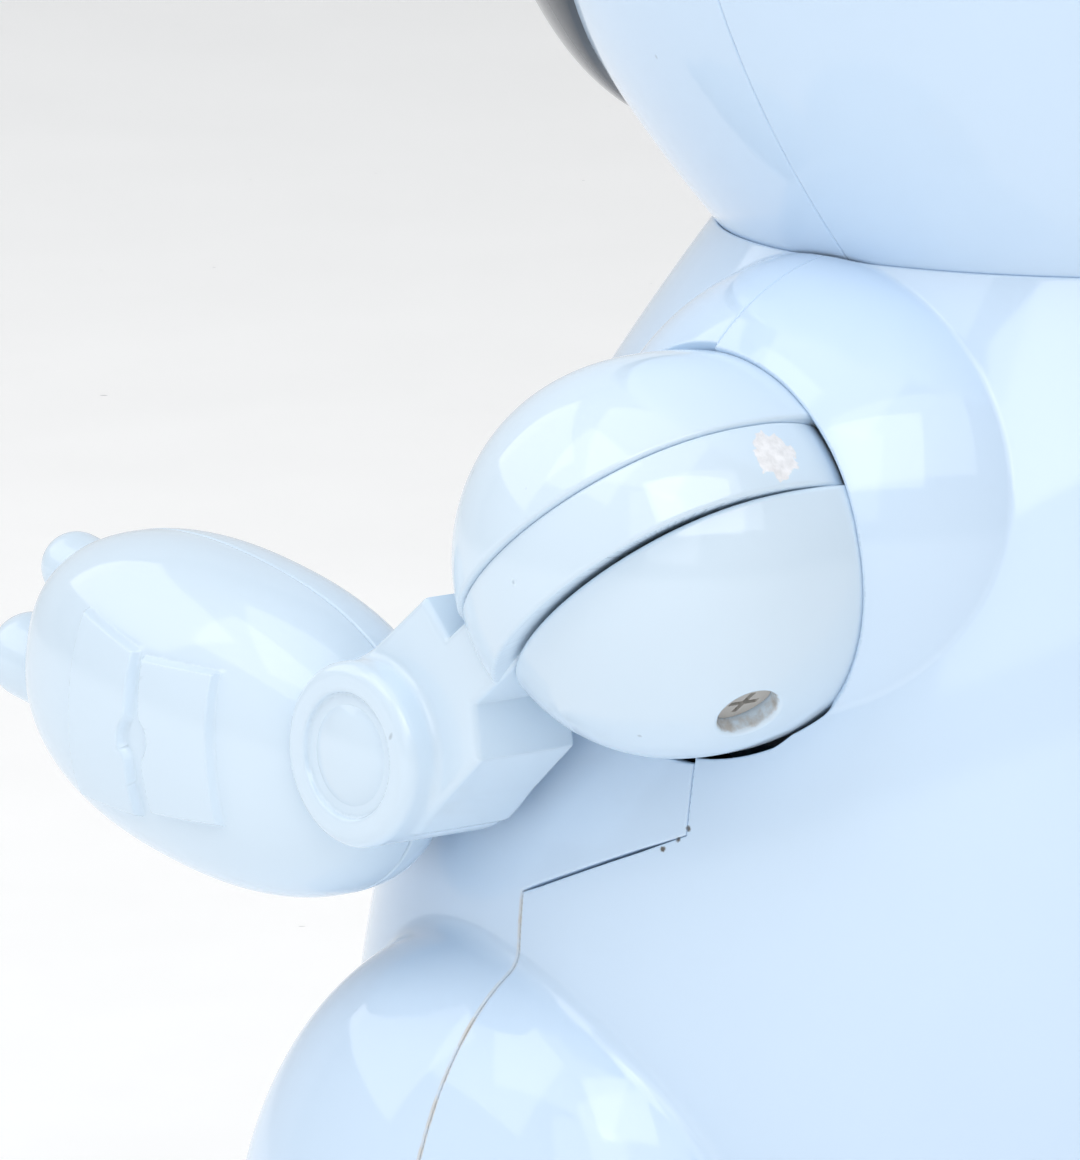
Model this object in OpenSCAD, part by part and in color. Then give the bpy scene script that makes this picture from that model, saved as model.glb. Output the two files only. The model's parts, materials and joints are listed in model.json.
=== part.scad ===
// Toy humanoid robot on wheels: round head with a dark visor, pear-shaped body with moulded legs,
// swinging three-layer shoulders, hinged mitten hands and a three-wheel base. Front is -Y, left is +X.

/* [Body] */
// wall of every moulded shell
wall = 2.4; // [2.2:0.1:2.8]
// widest radius of the belly
belly_r = 69.7;
// height of the widest ring above the floor
belly_z = 78;
// radius of the body under the head
collar_r = 45.6;
// height of the head joint
neck_z = 156;
// forward shift of the body per millimetre of height lost
lean = 0.263;
// height of the flat underside of the shells
skirt_z = 9;
// half gap between the front and rear shells
seam_gap = 0.1; // [0.1:0.05:0.2]

/* [Legs] */
// sideways distance of each leg from the middle
leg_x = 62;
// distance of each leg ahead of the neck
leg_y = 40;
// height of the leg bulge centre
leg_z = 38;
// radius of the leg bulge
leg_r = 26;
// half height of the leg bulge
leg_half_h = 43;

/* [Shoulders] */
// height of the shoulder axis
shoulder_z = 125.5;
// centre of the shoulder dome from the middle
dome_x = 41.3;
// height of the shoulder dome centre
dome_z = 127.5;
// radius of the shoulder dome
dome_r = 29;
// radius of the round socket the arm sits in
socket_r = 21.6;
// distance of the bearing disc from the middle
bush_x = 49.8;

/* [Arms] */
// angle of the forearm below the horizontal
arm_droop = 38; // [34:1:42]
// half thickness of the middle layer
core_half = 4;
// distance from the shoulder axis to the wrist hinge
wrist_d = 37.4;
// radius of the wrist barrel
barrel_r = 10.2;
// inner end of the wrist barrel
barrel_in = 70.2;
// outer end of the wrist barrel
barrel_out = 88.9;
// side face of the forearm
forearm_out = 84.5;

/* [Hands] */
// tilt of the hand above the horizontal
hand_pitch = 11.7; // [8:0.5:14]
// centre of the mitten: sideways, ahead of the wrist, above the wrist
hand_c = [76, 32.1, -7.8];
// half sizes of the mitten: sideways, forward, up
hand_s = [14.5, 30.6, 17.8];

/* [Head] */
// widest radius of the head
head_r = 70.5;
// height of the widest ring of the head
head_mid_z = 212;
// top of the head
head_top_z = 268.5;
// half width and half height of the visor outline
visor_s = [64, 46];
// height of the visor centre
visor_z = 206;
// how far the visor stands out
visor_proud = 3;

/* [Wheels] */
// radius of the drive wheels
wheel_r = 17;
// width of the drive wheels
wheel_w = 9;
// radius of the tail roller
roller_r = 6;
// distance of the tail roller behind the neck
roller_y = 20;

/* [Chest button] */
// height of the chest button
button_z = 108;
// distance of the chest surface ahead of the neck at the button
button_y = 76.6;
// upward tilt of the button axis
button_tilt = 26.6;
// radius of the button
button_r = 8;

/* [Hidden] */
$fn = 96;
rings = 26;
hand_rings = 18;
fine_r = 0.06;
gap = 0.3;
base_top = skirt_z - gap;
base_t = 2.5;
base_low = base_top - base_t;
finger_tips = [[74, 63.5, -1.8, 4], [74, 68.7, -14.2, 5]];
tongue_x = 75.8;
tongue_t = 5.4;
parting_x = 75.4;
neck_tube_r = 12;
neck_bush_r = 43.4;
arm_relief_x = 60.4;
front_boss = [22, -68.9];
rear_boss = [22, -8.1];
bush_hub_r = 10.5;
motor_r = 8;
shaft_r = 3.5;
axle_r = 1.5;
pin_r = 2;
screw_r = 1.2;
screw_x = 71;
screw_d = -3;
gear_x = 47.5;
wheel_slot = wheel_w + 2.4;
panel_w = 30;
panel_low = 63;
panel_high = 87;
front_reach = wrist_d * cos(arm_droop) + finger_tips[1][1] * cos(hand_pitch)
  - finger_tips[1][2] * sin(hand_pitch) + finger_tips[1][3];
head_low = neck_z - 4;
head_step = (head_top_z - head_low) / rings;
back_reach = max([for (i = [0 : rings]) head_at(head_low + i * head_step)]);
axis_y = (front_reach - back_reach) / 2;

// radius of the body at height z
function body_r(z) = z > belly_z
  ? belly_r - (belly_r - collar_r) * pow((z - belly_z) / (neck_z - belly_z), 1.75)
  : belly_r * sqrt(1 - pow((belly_z - z) / 84, 2.4));

// radius of the head at height z
function head_at(z) = z > head_mid_z
  ? head_r * sqrt(max(0, 1 - pow((z - head_mid_z) / (head_top_z - head_mid_z), 2.2)))
  : head_r - 24.5 * pow((head_mid_z - z) / 55.6, 1.9);

// outline of one rounded shoulder piece: radius at distance x from the middle
function egg_at(x, full, belly, nose) = x > belly
  ? full * sqrt(max(0, 1 - pow((x - belly) / (nose - belly), 2.4)))
  : full - pow((belly - x) / 9, 2);

// a half outline moved along its normal by off
function offset_line(p, off) = [for (i = [0 : len(p) - 1])
  let (t = p[min(i + 1, len(p) - 1)] - p[max(i - 1, 0)])
  [max(0, p[i][0] + off * t[1] / norm(t)), p[i][1] - off * t[0] / norm(t)]];

// a half outline closed onto the axis
function closed_line(p) = concat([[0, p[0][1]]], p, [[0, p[len(p) - 1][1]]]);

module at_neck() { translate([0, axis_y, 0]) children(); }
module both() {
  children();
  mirror([1, 0, 0]) children();
}
module at_side(s) { at_neck() mirror([s, 0, 0]) children(); }
module along_x(x, r, h) { translate([x, 0, 0]) rotate([0, 90, 0]) cylinder(h = h, r = r); }

// body and head forms
module body_form(off) {
  line = [for (i = [0 : rings]) [body_r(2 + i * 158 / rings), 2 + i * 158 / rings]];
  multmatrix([[1, 0, 0, 0], [0, 1, lean, -lean * neck_z], [0, 0, 1, 0]])
    rotate_extrude() polygon(closed_line(offset_line(line, off)));
}
module leg_form(off) {
  translate([leg_x, -leg_y, leg_z]) scale([leg_r + off, leg_r + off, leg_half_h + off]) sphere(1);
}
module dome_form(off) { translate([dome_x, 0, dome_z]) sphere(dome_r + off); }
module torso_form(off) {
  body_form(off);
  both() leg_form(off);
  both() dome_form(off);
}
module head_form(off) {
  line = [for (i = [0 : rings]) [head_at(head_low + i * head_step), head_low + i * head_step]];
  rotate_extrude() polygon(closed_line(offset_line(line, off)));
}
module visor_cut(grow) {
  outline = [for (i = [0 : 71]) [(visor_s[0] + grow) * cos(5 * i), (visor_s[1] + grow) * sin(5 * i)]];
  translate([0, 0, visor_z]) rotate([90, 0, 0]) linear_extrude(120) polygon(outline);
}

// everything ahead of the stepped seam between the two body shells
module front_zone(shift) {
  side = [[0, 200], [0, 95], [-23, 86], [-23, -20], [-160, -20], [-160, 200]];
  translate([-120, shift, 0]) rotate([90, 0, 90]) linear_extrude(240) polygon(side);
}
module torso_skin() {
  difference() {
    torso_form(0);
    torso_form(-wall);
    both() translate([0, 0, shoulder_z]) {
      along_x(bush_x, socket_r, 60);
      along_x(arm_relief_x, socket_r + 1, 60);
    }
    translate([-200, -200, -60]) cube([400, 400, 60 + skirt_z]);
    head_form(2 * gap);
  }
  intersection() {
    body_form(-1);
    difference() {
      translate([0, 0, neck_z - 8.4]) cylinder(h = 2.3, r = 60);
      cylinder(h = 200, r = neck_bush_r - 3);
    }
  }
}
module boss(at) {
  difference() {
    intersection() {
      translate([at[0], at[1], skirt_z]) cylinder(h = 14, r = 4);
      body_form(-1);
    }
    translate([at[0], at[1], 0]) cylinder(h = 20, r = screw_r);
  }
}
module at_button() { translate([0, -button_y, button_z]) rotate([90 - button_tilt, 0, 0]) children(); }
module panel_box(shrink) {
  w = panel_w - 2 * shrink;
  translate([-w / 2, 30, panel_low + shrink]) cube([w, 40, panel_high - panel_low - 2 * shrink]);
}

module torso_front_shell() {
  color("lightskyblue") at_neck() {
    difference() {
      intersection() {
        torso_skin();
        front_zone(-seam_gap);
      }
      at_button() translate([0, 0, -12]) cylinder(h = 30, r = button_r + 4.6);
      for (i = [-3 : 3]) translate([i * 5 - 1, -120, 62 + abs(i) * 1.5]) cube([2, 60, 16 - abs(i) * 3]);
    }
    both() boss(front_boss);
  }
}
module torso_rear_shell() {
  color("skyblue") at_neck() {
    difference() {
      torso_skin();
      front_zone(seam_gap);
      panel_box(0);
    }
    both() boss(rear_boss);
  }
}
module rear_panel() {
  color("lightsteelblue") at_neck() difference() {
    intersection() {
      difference() {
        body_form(-0.2);
        body_form(-wall);
      }
      panel_box(gap / 2);
    }
    translate([-5.5, 30, 76]) cube([11, 30, 5]);
    translate([0, 60, 69]) rotate([90, 0, 0]) cylinder(h = 40, r = 3.2);
  }
}
module base_outline() {
  translate([0, -38]) circle(r = 42);
  both() translate([leg_x, -leg_y]) circle(r = 18.4);
  translate([-leg_x, -leg_y - 10]) square([2 * leg_x, 20]);
  translate([-15, -20]) square([30, 28 + roller_y]);
}
module base_plate() {
  color("slategray") at_neck() {
    difference() {
      union() {
        translate([0, 0, base_low]) linear_extrude(base_t) base_outline();
        both() translate([7, roller_y - 4.5, 3.4]) cube([3, 9, base_low - 3.3]);
      }
      both() translate([leg_x - wheel_slot / 2, -leg_y - 16.5, 0]) cube([wheel_slot, 33, 20]);
      translate([-24, -52, 0]) cube([48, 30, 20]);
      both() for (p = [front_boss, rear_boss]) translate([p[0], p[1], 0]) cylinder(h = 20, r = screw_r + fine_r);
      translate([-7, roller_y - 8, 0]) cube([14, 14, 20]);
      translate([0, roller_y, roller_r]) along_x(-11, axle_r, 22);
    }
  }
}
module battery_door() {
  color("darkslategray") at_neck() {
    translate([-23.8, -51.8, base_low]) cube([47.6, 29.6, base_t]);
    for (i = [-2 : 2]) translate([i * 4 - 0.8, -50, base_low - 0.6]) cube([1.6, 6, 0.7]);
  }
}
module battery_pack() {
  color("seagreen") at_neck() for (i = [-1 : 1])
    translate([-26, -38 + i * 17.2, 18.2]) along_x(0, 8.5, 52);
}
module main_board() {
  color("green") at_neck() {
    translate([-35, -11.6, 40]) cube([70, 1.6, 50]);
    for (i = [-1 : 1]) translate([i * 20 - 6, -10.1, 50 + i * 6]) cube([12, 2.4, 12]);
  }
}
module speaker() {
  color("dimgray") at_neck() translate([0, -77, 70]) rotate([-90, 0, 0]) {
    cylinder(h = 4, r1 = 18, r2 = 11);
    translate([0, 0, 3.9]) cylinder(h = 6, r = 10);
  }
}
module charge_socket() {
  color("black") at_neck() translate([0, 46.9, 69]) rotate([90, 0, 0]) difference() {
    cylinder(h = 14, r = 3);
    translate([0, 0, -1]) cylinder(h = 12, r = 2);
  }
}
module switch_body() {
  color("gray") at_neck() translate([-9, 36, 74]) cube([18, 8, 9]);
}
module power_knob() {
  color("white") at_neck() translate([-5.2, 44.2, 76.3]) cube([5.2, 5.4, 4.4]);
}
module chest_bezel() {
  color("white") at_neck() at_button() difference() {
    translate([0, 0, -4]) cylinder(h = 5, r = button_r + 4.4);
    translate([0, 0, -5]) cylinder(h = 8, r = button_r + 0.3);
  }
}
module chest_button() {
  color("orange") at_neck() at_button() intersection() {
    translate([0, 0, -5]) cylinder(h = 8, r = button_r);
    translate([0, 0, -16]) sphere(18);
  }
}
module chest_switch() {
  color("green") at_neck() at_button() translate([0, 0, -9]) {
    translate([-6, -6, 0]) cube([12, 12, 2.2]);
    translate([-11, -11, -1.6]) cube([22, 22, 1.6]);
  }
}
module neck_bush() {
  color("gray") at_neck() difference() {
    union() {
      translate([0, 0, neck_z - 6]) cylinder(h = 2.4, r = neck_bush_r);
      translate([0, 0, neck_z - 10]) cylinder(h = 6.4, r = 17);
    }
    cylinder(h = 200, r = neck_tube_r + fine_r);
  }
}
module base_screws() {
  color("silver") at_neck() both() for (p = [front_boss, rear_boss]) translate([p[0], p[1], 0]) {
    translate([0, 0, base_low - 1.4]) cylinder(h = 1.4, r = 2.6);
    translate([0, 0, base_low]) cylinder(h = 12, r = screw_r);
  }
}

// shoulder drive
module shoulder_bush(s) {
  color("gray") at_side(s) translate([0, 0, shoulder_z]) difference() {
    union() {
      along_x(bush_x, socket_r + 1, 2.5);
      along_x(bush_x - 12, bush_hub_r, 12.1);
    }
    along_x(bush_x - 13, motor_r + fine_r, 6.4);
    along_x(0, shaft_r + fine_r, 80);
  }
}
module shoulder_motor(s) {
  color("silver") at_side(s) translate([0, 0, shoulder_z]) along_x(bush_x - 26, motor_r, 19);
}
module drive_motor(s) {
  color("goldenrod") at_side(s) difference() {
    union() {
      translate([gear_x, -leg_y - 9, 11.5]) cube([8, 18, 19.5]);
      translate([0, -leg_y, 22]) along_x(gear_x - 17.5, 7.4, 17.6);
    }
    translate([0, -leg_y, wheel_r]) along_x(gear_x - 1, axle_r + fine_r, 20);
  }
}

// arm, drawn with the forearm pointing forward and its layers level
module arm_frame() { translate([0, 0, shoulder_z]) rotate([arm_droop, 0, 0]) children(); }
module egg_form(full, belly, nose, off) {
  low = 50;
  line = [for (i = [0 : rings]) let (x = low + (nose - low) * sin(90 * i / rings)) [egg_at(x, full, belly, nose), x]];
  rotate([90, 0, 90]) rotate_extrude() polygon(closed_line(offset_line(line, off)));
}
module slab(low, high) { translate([50, -60, low]) cube([60, 120, high - low]); }
module screw_axis() { translate([screw_x, -screw_d, 0]) children(); }
module pie(from, to, r) {
  polygon(concat([[0, 0]], [for (i = [0 : 12]) let (a = from + i * (to - from) / 12) [r * cos(a), r * sin(a)]]));
}
module arm_core(s) {
  side = [[12, -4], [21.2, -4], [23.7, -9.3], [wrist_d, -10.1], [wrist_d, 10.1], [33.4, 9.3], [20.4, 9.4],
    [19.9, 4], [12, 4]];
  color("powderblue") at_side(s) arm_frame() difference() {
    union() {
      intersection() {
        egg_form(22, 69, 91, 0);
        slab(-core_half, core_half);
        translate([54, -50, -50]) cube([60, 100, 100]);
      }
      along_x(53.4, 20.6, 2.4);
      translate([barrel_in, 0, 0]) rotate([90, 0, 90]) linear_extrude(forearm_out - barrel_in)
        mirror([1, 0, 0]) polygon(side);
      translate([0, -wrist_d, 0]) along_x(barrel_in, barrel_r, barrel_out - barrel_in);
    }
    along_x(40, shaft_r, 22);
    intersection() {
      egg_form(22.2, 68, 91.8, gap / 2);
      slab(core_half, 30);
      translate([56, -50, -50]) cube([60, 100, 100]);
    }
    screw_axis() translate([0, 0, -9]) cylinder(h = 18, r = 1.5);
    translate([0, -wrist_d, 0]) {
      along_x(barrel_out - 2.4, 6.8, 5);
      along_x(barrel_in + 1.5, pin_r, 20);
      along_x(tongue_x - gap, 7.4, tongue_t + 2 * gap);
      translate([tongue_x - gap, 0, 0]) rotate([90, 0, 90]) mirror([1, 0, 0])
        linear_extrude(tongue_t + 2 * gap) pie(-12, 106, 16);
    }
  }
}
module cover_front(s) {
  color("lightcyan") at_side(s) arm_frame() {
    difference() {
      intersection() {
        egg_form(22.2, 68, 91.8, 0);
        slab(core_half + 0.1, 30);
        translate([56.1, -50, -50]) cube([60, 100, 100]);
      }
      intersection() {
        egg_form(22.2, 68, 91.8, -wall);
        translate([58.5, -50, 0]) cube([60, 100, 100]);
      }
    }
    screw_axis() difference() {
      translate([0, 0, core_half + 0.1]) cylinder(h = 16, r = 4);
      cylinder(h = 9, r = 1.3);
    }
  }
}
module cover_rear(s) {
  color("azure") at_side(s) arm_frame() difference() {
    union() {
      difference() {
        intersection() {
          egg_form(21.6, 66, 88.3, 0);
          slab(-30, -core_half - 0.1);
          translate([56.1, -50, -50]) cube([60, 100, 100]);
        }
        intersection() {
          egg_form(21.6, 66, 88.3, -wall);
          translate([58.5, -50, -100]) cube([60, 100, 100]);
        }
      }
      screw_axis() translate([0, 0, -19.2]) cylinder(h = 19.2 - core_half - 0.1, r = 5);
    }
    screw_axis() {
      translate([0, 0, -30]) cylinder(h = 12.8, r = 3.5);
      translate([0, 0, -20]) cylinder(h = 20, r = 1.3);
    }
  }
}
module cover_screw(s) {
  color("silver") at_side(s) arm_frame() screw_axis() {
    difference() {
      translate([0, 0, -19.4]) cylinder(h = 2.2, r = 3.2);
      for (a = [0, 90]) rotate([0, 0, a]) translate([-2, -0.4, -20]) cube([4, 0.8, 1.6]);
    }
    translate([0, 0, -17.3]) cylinder(h = 25.5, r = 1.3);
  }
}
module shoulder_shaft(s) {
  color("silver") at_side(s) translate([0, 0, shoulder_z]) along_x(bush_x - 6.4, shaft_r, 18);
}
module wrist_pin(s) {
  color("azure") at_side(s) arm_frame() translate([0, -wrist_d, 0]) {
    cap = [for (i = [0 : 8]) [6.5 * cos(11.25 * i), 0.8 + 0.8 * sin(11.25 * i)]];
    translate([barrel_out - 2.4, 0, 0]) rotate([0, 90, 0]) rotate_extrude()
      polygon(concat([[0, -14], [pin_r, -14], [pin_r, 0], [6.5, 0]], cap, [[0, 1.6]]));
  }
}

// hand, drawn with the mitten level and the wrist hinge on the X axis
module hand_frame() {
  arm_frame() translate([0, -wrist_d, 0]) rotate([-arm_droop - hand_pitch, 0, 0]) children();
}
module hand_form(off) {
  high = hand_s[2] + off;
  line = [for (i = [0 : hand_rings]) let (a = -90 + i * 180 / hand_rings) [high * cos(a), (hand_s[1] + off) * sin(a)]];
  translate([hand_c[0], -hand_c[1], hand_c[2]]) scale([(hand_s[0] + off) / high, 1, 1]) rotate([90, 0, 0])
    rotate_extrude() polygon(line);
}
module hand_skin() {
  difference() {
    hand_form(0);
    hand_form(-wall);
    along_x(40, barrel_r + 0.6, 80);
  }
}
module hand_outer(s) {
  color("paleturquoise") at_side(s) hand_frame() {
    intersection() {
      hand_skin();
      translate([parting_x + 0.05, -100, -100]) cube([60, 200, 200]);
    }
    intersection() {
      hand_form(1);
      translate([80, 0, 0]) rotate([hand_pitch, 0, 0]) {
        translate([0, -34, -18]) cube([20, 12, 18]);
        translate([0, -47.5, -18.5]) cube([20, 12, 19.5]);
      }
    }
    difference() {
      union() {
        along_x(tongue_x, 6.8, tongue_t);
        translate([tongue_x, -16, -4]) cube([tongue_t, 16, 8]);
        intersection() {
          hand_form(-1);
          translate([tongue_x, -18, -40]) cube([tongue_t, 5, 80]);
        }
      }
      along_x(tongue_x - 1, pin_r + fine_r, tongue_t + 2);
    }
  }
}
module hand_inner(s) {
  color("lightblue") at_side(s) hand_frame() intersection() {
    hand_skin();
    translate([0, -100, -100]) cube([parting_x - 0.05, 200, 200]);
  }
}
module fingers(s) {
  color("aliceblue") at_side(s) hand_frame() difference() {
    for (t = finger_tips) translate([t[0], 0, t[2]]) {
      translate([0, -t[1], 0]) sphere(t[3]);
      translate([0, -t[1] + 12, 0]) rotate([90, 0, 0]) cylinder(h = 12, r = t[3]);
    }
    hand_form(0.05);
  }
}

// head
module head_skin() {
  difference() {
    head_form(0);
    head_form(-wall);
    translate([-100, -100, 0]) cube([200, 200, neck_z + 0.5]);
  }
}
module head_front_shell() {
  color("lightskyblue") at_neck() difference() {
    intersection() {
      head_skin();
      translate([-100, -200 + 3 - seam_gap, 0]) cube([200, 200, 300]);
    }
    visor_cut(gap);
  }
}
module head_rear_shell() {
  color("skyblue") at_neck() intersection() {
    head_skin();
    translate([-100, 3 + seam_gap, 0]) cube([200, 200, 300]);
  }
}
module visor_skin() {
  intersection() {
    difference() {
      head_form(visor_proud);
      head_form(-wall + 0.2);
    }
    visor_cut(0);
  }
}
module eye_spot(r) { both() translate([23, 0, 208]) rotate([90, 0, 0]) cylinder(h = 100, r = r); }
module face_visor() {
  color([0.1, 0.1, 0.12]) at_neck() difference() {
    visor_skin();
    eye_spot(9.1);
  }
}
module eye_lenses() {
  color("cyan") at_neck() intersection() {
    visor_skin();
    eye_spot(9);
  }
}
module face_board() {
  color("green") at_neck() {
    translate([-38, -46, 188]) cube([76, 1.6, 40]);
    both() translate([23, -45.9, 208]) rotate([90, 0, 0]) cylinder(h = 3, r = 7);
  }
}
module head_chassis() {
  color("gray") at_neck() difference() {
    union() {
      translate([0, 0, neck_z + 2.6]) cylinder(h = 2.4, r = 44);
      translate([-14, -44.4, neck_z + 4]) cube([28, 2.6, 60]);
      both() translate([12, -44.4, neck_z + 4]) cube([2, 30, 20]);
    }
    cylinder(h = 300, r = 9);
  }
}
module neck_tube() {
  color("dimgray") at_neck() difference() {
    union() {
      translate([0, 0, neck_z - 12.2]) cylinder(h = 14.8, r = neck_tube_r);
      translate([0, 0, neck_z - 12.2]) cylinder(h = 2.2 - fine_r, r = 14.5);
    }
    cylinder(h = 300, r = 9);
  }
}

// wheels
module wheel_hub(s) {
  color("white") at_side(s) translate([leg_x - wheel_w / 2, -leg_y, wheel_r]) difference() {
    union() {
      along_x(1, wheel_r - 3, wheel_w - 2);
      along_x(0, 4, wheel_w);
    }
    along_x(-1, axle_r, wheel_w + 2);
    for (i = [0 : 5]) rotate([60 * i, 0, 0]) translate([0, 8.6, 0]) along_x(-1, 2.2, wheel_w + 2);
  }
}
module tyre(s) {
  color("dimgray") at_side(s) translate([leg_x - wheel_w / 2, -leg_y, wheel_r]) difference() {
    along_x(0, wheel_r, wheel_w);
    along_x(-1, wheel_r - 3, wheel_w + 2);
    for (i = [0 : 35]) rotate([10 * i, 0, 0]) translate([-1, wheel_r - 0.6, -0.5]) cube([wheel_w + 2, 2, 1]);
  }
}
module axle(s) {
  color("silver") at_side(s) translate([0, -leg_y, wheel_r]) along_x(gear_x + 0.5, axle_r, 22);
}
module tail_roller() {
  color("dimgray") at_neck() translate([-6, roller_y, roller_r]) difference() {
    along_x(0, roller_r, 12);
    along_x(-1, axle_r, 14);
  }
}
module roller_axle() {
  color("silver") at_neck() translate([0, roller_y, roller_r]) along_x(-9.5, axle_r - fine_r, 19);
}

torso_front_shell();
torso_rear_shell();
rear_panel();
base_plate();
battery_door();
battery_pack();
main_board();
speaker();
charge_socket();
switch_body();
chest_bezel();
chest_switch();
neck_bush();
shoulder_bush(0);  // left_shoulder_bush
shoulder_bush(1);  // right_shoulder_bush
shoulder_motor(0);  // left_shoulder_motor
shoulder_motor(1);  // right_shoulder_motor
drive_motor(0);  // left_drive_motor
drive_motor(1);  // right_drive_motor
base_screws();
head_front_shell();
head_rear_shell();
face_visor();
eye_lenses();
face_board();
head_chassis();
neck_tube();
arm_core(0);  // left_arm_core
arm_core(1);  // right_arm_core
cover_front(0);  // left_cover_front
cover_front(1);  // right_cover_front
cover_rear(0);  // left_cover_rear
cover_rear(1);  // right_cover_rear
shoulder_shaft(0);  // left_shoulder_shaft
shoulder_shaft(1);  // right_shoulder_shaft
cover_screw(0);  // left_cover_screw
cover_screw(1);  // right_cover_screw
wrist_pin(0);  // left_wrist_pin
wrist_pin(1);  // right_wrist_pin
hand_outer(0);  // left_hand_outer
hand_outer(1);  // right_hand_outer
hand_inner(0);  // left_hand_inner
hand_inner(1);  // right_hand_inner
fingers(0);  // left_fingers
fingers(1);  // right_fingers
wheel_hub(0);  // left_wheel_hub
wheel_hub(1);  // right_wheel_hub
tyre(0);  // left_tyre
tyre(1);  // right_tyre
axle(0);  // left_axle
axle(1);  // right_axle
tail_roller();
roller_axle();
power_knob();
chest_button();
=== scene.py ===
import json
import math

import bmesh
import bpy
import numpy as np
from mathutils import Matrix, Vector


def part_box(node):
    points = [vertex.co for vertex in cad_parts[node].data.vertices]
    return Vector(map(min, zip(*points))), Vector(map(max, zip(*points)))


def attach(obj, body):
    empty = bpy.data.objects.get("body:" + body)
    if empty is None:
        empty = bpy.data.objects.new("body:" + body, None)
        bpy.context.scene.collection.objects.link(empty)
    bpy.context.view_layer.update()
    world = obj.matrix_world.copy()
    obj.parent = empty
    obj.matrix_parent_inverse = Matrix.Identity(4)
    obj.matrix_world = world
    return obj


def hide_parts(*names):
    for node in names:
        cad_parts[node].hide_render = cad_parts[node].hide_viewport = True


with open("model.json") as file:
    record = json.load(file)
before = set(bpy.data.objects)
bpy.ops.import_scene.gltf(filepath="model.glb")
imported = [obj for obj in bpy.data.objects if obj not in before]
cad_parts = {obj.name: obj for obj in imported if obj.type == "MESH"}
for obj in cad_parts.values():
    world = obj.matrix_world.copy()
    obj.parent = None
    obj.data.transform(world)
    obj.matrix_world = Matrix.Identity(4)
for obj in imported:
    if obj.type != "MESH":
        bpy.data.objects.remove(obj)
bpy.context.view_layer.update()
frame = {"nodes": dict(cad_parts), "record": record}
FINE = 1.0

# ---------------------------------------------------------------- sizes, mm
low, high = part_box("neck_tube")
AXIS_Y = (low[1] + high[1]) / 2
NECK_Z = 156.0
BELLY_R, BELLY_Z, COLLAR_R, LEAN = 69.7, 78.0, 45.6, 0.263
LEG, LEG_S = np.array([62.0, -31.5, 38.0]), np.array([26.0, 37.8, 43.0])
SHOULDER_Z, DOME_X, DOME_Z, DOME_R, SOCKET_R = 125.5, 41.3, 127.5, 29.0, 21.6
HEAD_R, HEAD_Z, HEAD_TOP, HEAD_SEAM = 70.5, 212.0, 268.5, 3.0
HEAD_LOW = 155.4
VISOR_A, VISOR_B, VISOR_Z, VISOR_RISE = 64.0, 46.0, 206.0, 3.1
DROOP, PITCH = math.radians(38), math.radians(11.7)
WRIST_D, BARREL_R, BARREL_IN, BARREL_OUT, FOREARM_OUT = 37.4, 10.2, 70.2, 88.9, 84.5
TONGUE_X, TONGUE_HALF, CAP_R = 78.5, 2.7, 6.5
HAND_C, HAND_S = np.array([76.0, -32.1, -7.8]), np.array([14.5, 30.6, 17.8])
PARTING_X, CORE_HALF, SCREW_X, SCREW_Y = 75.4, 4.0, 71.0, 3.0
SKIRT_Z = 9.0
FAR = 1e3


def turned(p, angle):
    """Points turned about the X axis."""
    c, s = math.cos(angle), math.sin(angle)
    return np.stack([p[:, 0], c * p[:, 1] - s * p[:, 2], s * p[:, 1] + c * p[:, 2]], 1)


def arm_to_body(p):
    q = turned(p, DROOP)
    return q + np.array([0, 0, SHOULDER_Z])


def hand_to_body(p):
    return arm_to_body(turned(p, -DROOP - PITCH) + np.array([0, -WRIST_D, 0]))


# ---------------------------------------------------------------- forms
def body_r(z):
    up = np.clip((z - BELLY_Z) / (NECK_Z - BELLY_Z), 0, None)
    down = np.clip((BELLY_Z - z) / 84.0, 0, 0.999)
    return np.where(z > BELLY_Z, BELLY_R - (BELLY_R - COLLAR_R) * up**1.75, BELLY_R * np.sqrt(1 - down**2.4))


def head_r(z):
    up = np.clip((z - HEAD_Z) / (HEAD_TOP - HEAD_Z), 0, 1)
    down = np.clip((HEAD_Z - z) / 55.6, 0, None)
    return np.where(z > HEAD_Z, HEAD_R * np.sqrt(1 - up**2.2), HEAD_R - 24.5 * down**1.9)


def steep(line, z):
    """How far a turned form's outline distance shortens to a true one."""
    return 1 / np.sqrt(1 + ((line(z + 0.5) - line(z - 0.5))) ** 2)


def f_body(p):
    z = np.clip(p[:, 2], 2, 163)
    return (np.hypot(p[:, 0], p[:, 1] + LEAN * (NECK_Z - p[:, 2])) - body_r(z)) * steep(body_r, z)


def f_leg(p):
    q = np.stack([np.abs(p[:, 0]), p[:, 1], p[:, 2]], 1) - LEG
    k0, k1 = np.linalg.norm(q / LEG_S, axis=1), np.linalg.norm(q / LEG_S**2, axis=1)
    return k0 * (k0 - 1) / np.maximum(k1, 1e-6)


def f_dome(p):
    return np.sqrt((np.abs(p[:, 0]) - DOME_X) ** 2 + p[:, 1] ** 2 + (p[:, 2] - DOME_Z) ** 2) - DOME_R


def f_head(p):
    z = np.clip(p[:, 2], HEAD_LOW, HEAD_TOP - 0.5)
    side = (np.hypot(p[:, 0], p[:, 1]) - head_r(z)) * steep(head_r, z)
    return np.maximum(side, HEAD_LOW - p[:, 2])


def smin(a, b, k):
    h = np.clip(0.5 + 0.5 * (b - a) / k, 0, 1)
    return b * (1 - h) + a * h - k * h * (1 - h)


def smax(a, b, k):
    return -smin(-a, -b, k)


def f_torso(p):
    return smin(smin(f_body(p), f_leg(p), 1.6), f_dome(p), 0.4)


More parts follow.
